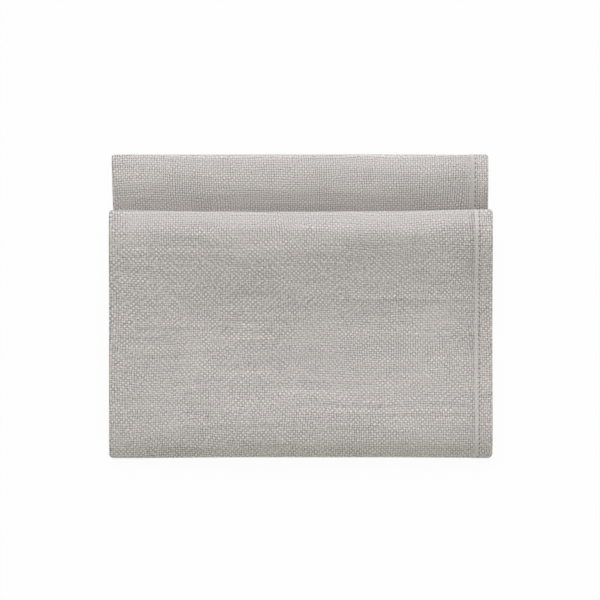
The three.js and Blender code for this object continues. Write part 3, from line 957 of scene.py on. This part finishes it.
class NapkinCloth(bpy.types.PropertyGroup):
    """Sizes and colours of the cloth."""

    cloth_width: FloatProperty(
        name="Cloth Width", description="Finished side of the flat cloth",
        default=CLOTH_SIDE * MM, **LENGTH,
    )
    warp_pitch: FloatProperty(
        name="Warp Pitch", description="Distance from one yarn along the cloth to the next",
        default=0.001366, **LENGTH,
    )
    weft_pitch: FloatProperty(
        name="Weft Pitch", description="Distance from one yarn across the cloth to the next",
        default=0.001319, **LENGTH,
    )
    weave_depth: FloatProperty(
        name="Weave Depth", description="Relief of one yarn over another",
        default=0.00008, **LENGTH,
    )
    stitch_inset: FloatProperty(
        name="Stitch Inset", description="Distance of the stitching from a hem's edge",
        default=0.0078, **LENGTH,
    )
    warp_colour: FloatVectorProperty(
        name="Warp Colour", description="Colour of the yarns along the cloth",
        default=(0.541, 0.514, 0.488), **COLOUR,
    )
    weft_colour: FloatVectorProperty(
        name="Weft Colour", description="Colour of the yarns across the cloth",
        default=(0.623, 0.594, 0.566), **COLOUR,
    )
    # The hem fold's lighter colour is partly the cloth's own tone and partly a painted highlight on its
    # ridge.
    hem_fold_and_highlight_colour: FloatVectorProperty(
        name="Hem Fold Colour", description="Colour of the smooth turned edge of a hem",
        default=(0.54, 0.522, 0.507), **COLOUR,
    )
    pressed_colour: FloatVectorProperty(
        name="Pressed Colour", description="Colour of the cloth drawn smooth over a fold",
        default=(0.510, 0.492, 0.476), **COLOUR,
    )
    # The dark inside of a needle hole is painted shade.
    hole_shade_colour: FloatVectorProperty(
        name="Hole Colour", description="Colour inside a needle hole",
        default=(0.12, 0.09, 0.068), **COLOUR,
    )
    seed: IntProperty(name="Seed", description="Which thick and thin yarns the cloth has", default=11, min=0)


class NapkinThread(bpy.types.PropertyGroup):
    """Sizes and colour of the hem stitching."""

    stitch_length: FloatProperty(
        name="Stitch Length", description="Distance from needle hole to needle hole",
        default=0.00276, **LENGTH,
    )
    diameter: FloatProperty(
        name="Thread Diameter", description="Thickness of the sewing thread",
        default=0.00055, **LENGTH,
    )
    unevenness: FloatProperty(
        name="Unevenness", description="How much stitches differ in size",
        default=0.12, subtype="FACTOR", min=0.0, max=1.0,
    )
    colour: FloatVectorProperty(
        name="Thread Colour", description="Colour of the sewing thread",
        default=(0.52, 0.495, 0.465), **COLOUR,
    )
    seed: IntProperty(name="Seed", description="Which stitches are longer or shorter", default=3, min=0)


class NapkinStage(bpy.types.PropertyGroup):
    """Floor, light and camera."""

    floor_colour: FloatVectorProperty(
        name="Floor Colour", description="Colour of the pale floor",
        default=(0.03, 0.03, 0.03), **COLOUR,
    )
    floor_glow: FloatProperty(
        name="Floor Glow", description="Light that the floor gives by itself",
        default=0.956, min=0.0,
    )
    key_power: FloatProperty(
        name="Key Power", description="Power of the soft light behind the napkin",
        default=185.0, **POWER,
    )
    key_height: FloatProperty(
        name="Key Height", description="Angle of that light over the floor",
        default=math.radians(40), **ANGLE,
    )
    fill_power: FloatProperty(
        name="Fill Power", description="Power of the low light before the napkin",
        default=2.4, **POWER,
    )
    fill_height: FloatProperty(
        name="Fill Height", description="Angle of that light over the floor",
        default=math.radians(14), **ANGLE,
    )
    sky: FloatProperty(
        name="Sky", description="Strength of the even light from all round",
        default=0.36, min=0.0,
    )
    camera_height: FloatProperty(
        name="Camera Height", description="Height of the camera over the napkin",
        default=2.5, **LENGTH,
    )
    view_width: FloatProperty(
        name="View Width", description="Width of the picture at the napkin's top",
        default=0.3517, **LENGTH,
    )


class NAPKIN_OT_cloth(bpy.types.Operator):
    """Build the folded sheet on the solid's folds"""

    bl_idname = "napkin.cloth"
    bl_label = "Folded Cloth"

    def execute(self, context):
        scene = context.scene
        mesh = sheet_mesh(ClothShape(scene.napkin_cloth))
        mesh.materials.append(weave_material(scene.napkin_cloth, scene.napkin_thread))
        piece = new_object("napkin_sheet", mesh)
        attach(piece, BODY)
        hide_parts(NODE)
        return {"FINISHED"}


class NAPKIN_OT_stitches(bpy.types.Operator):
    """Sew a line of stitches along the four hems"""

    bl_idname = "napkin.stitches"
    bl_label = "Hem Stitches"

    def execute(self, context):
        scene = context.scene
        cloth, thread = scene.napkin_cloth, scene.napkin_thread
        holder = new_object("stitch_places", seam_points(ClothShape(cloth), cloth, thread))
        material = thread_material(thread)
        tree, sockets = stitch_tree(material)
        modifier = holder.modifiers.new("stitches", "NODES")
        modifier.node_group = tree
        numbers = (thread.stitch_length, thread.diameter, thread.unevenness, thread.seed)
        for socket, number in zip(sockets, numbers):
            modifier[socket] = number
        graph = context.evaluated_depsgraph_get()
        mesh = bpy.data.meshes.new_from_object(holder.evaluated_get(graph), depsgraph=graph)
        bpy.data.objects.remove(holder)
        if not mesh.polygons:
            raise RuntimeError("the stitch nodes made no thread")
        mesh.name = "hem_stitches"
        piece = new_object("hem_stitches", mesh)
        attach(piece, BODY)
        return {"FINISHED"}


class NAPKIN_OT_stage(bpy.types.Operator):
    """Lay the floor and set up the light and the camera"""

    bl_idname = "napkin.stage"
    bl_label = "Floor, Light and Camera"

    def execute(self, context):
        scene, stage = context.scene, context.scene.napkin_stage
        half = FLOOR_HALF_SIDE
        mesh = bpy.data.meshes.new("floor")
        corners = [(-half, -half), (half, -half), (half, half), (-half, half)]
        mesh.from_pydata([(x, y, -FLOOR_DROP) for x, y in corners], [], [(0, 1, 2, 3)])
        mesh.materials.append(floor_material(stage))
        floor = new_object("floor", mesh)

        world = bpy.data.worlds.new("studio")
        world.use_nodes = True
        background = world.node_tree.nodes["Background"]
        background.inputs["Color"].default_value = (1.075, 1.0, 0.925, 1.0)
        background.inputs["Strength"].default_value = stage.sky
        scene.world = world

        def soft_light(name, direction, distance, size, power, colour):
            lamp = bpy.data.lights.new(name, "AREA")
            lamp.shape = "RECTANGLE"
            lamp.size, lamp.size_y = size
            lamp.energy, lamp.color = power, colour
            holder = bpy.data.objects.new(name, lamp)
            toward = Vector(direction).normalized()
            holder.location = toward * distance
            holder.rotation_euler = toward.to_track_quat("Z", "Y").to_euler()
            holder.visible_camera = False
            scene.collection.objects.link(holder)

        rise, low = stage.key_height, stage.fill_height
        behind = (0.07, math.cos(rise), math.sin(rise))
        before = (0.0, -math.cos(low), math.sin(low))
        soft_light("key", behind, 4.0, (4.4, 3.0), stage.key_power, (0.983, 0.994, 1.048))
        soft_light("fill", before, 1.0, (1.1, 0.3), stage.fill_power, (0.9, 1.08, 1.0))

        data = bpy.data.cameras.new("camera")
        data.sensor_width = SENSOR
        data.lens = SENSOR * stage.camera_height / stage.view_width
        camera = bpy.data.objects.new("camera", data)
        camera.location = (-0.0004, 0.0037, CAD_BOX[1][2] * 0.7 + stage.camera_height)
        scene.collection.objects.link(camera)
        scene.camera = camera
        scene.view_settings.view_transform = "Standard"
        return {"FINISHED"}


class NAPKIN_PT_sidebar(bpy.types.Panel):
    """Lists the napkin's pieces with their sizes and colours"""

    bl_idname = "NAPKIN_PT_sidebar"
    bl_label = "Folded Napkin"
    bl_space_type = "VIEW_3D"
    bl_region_type = "UI"
    bl_category = "Napkin"

    def draw(self, context):
        for operator, settings in (
            (NAPKIN_OT_cloth, context.scene.napkin_cloth),
            (NAPKIN_OT_stitches, context.scene.napkin_thread),
            (NAPKIN_OT_stage, context.scene.napkin_stage),
        ):
            box = self.layout.box()
            box.operator(operator.bl_idname)
            for name in type(settings).__annotations__:
                box.prop(settings, name)


CLASSES = (
    NapkinCloth,
    NapkinThread,
    NapkinStage,
    NAPKIN_OT_cloth,
    NAPKIN_OT_stitches,
    NAPKIN_OT_stage,
    NAPKIN_PT_sidebar,
)


def register():
    for cls in CLASSES:
        bpy.utils.register_class(cls)
    bpy.types.Scene.napkin_cloth = PointerProperty(type=NapkinCloth)
    bpy.types.Scene.napkin_thread = PointerProperty(type=NapkinThread)
    bpy.types.Scene.napkin_stage = PointerProperty(type=NapkinStage)


def unregister():
    del bpy.types.Scene.napkin_stage
    del bpy.types.Scene.napkin_thread
    del bpy.types.Scene.napkin_cloth
    for cls in reversed(CLASSES):
        bpy.utils.unregister_class(cls)


def main():
    register()
    bpy.ops.napkin.cloth()
    bpy.ops.napkin.stitches()
    bpy.ops.napkin.stage()


if __name__ == "__main__":
    main()
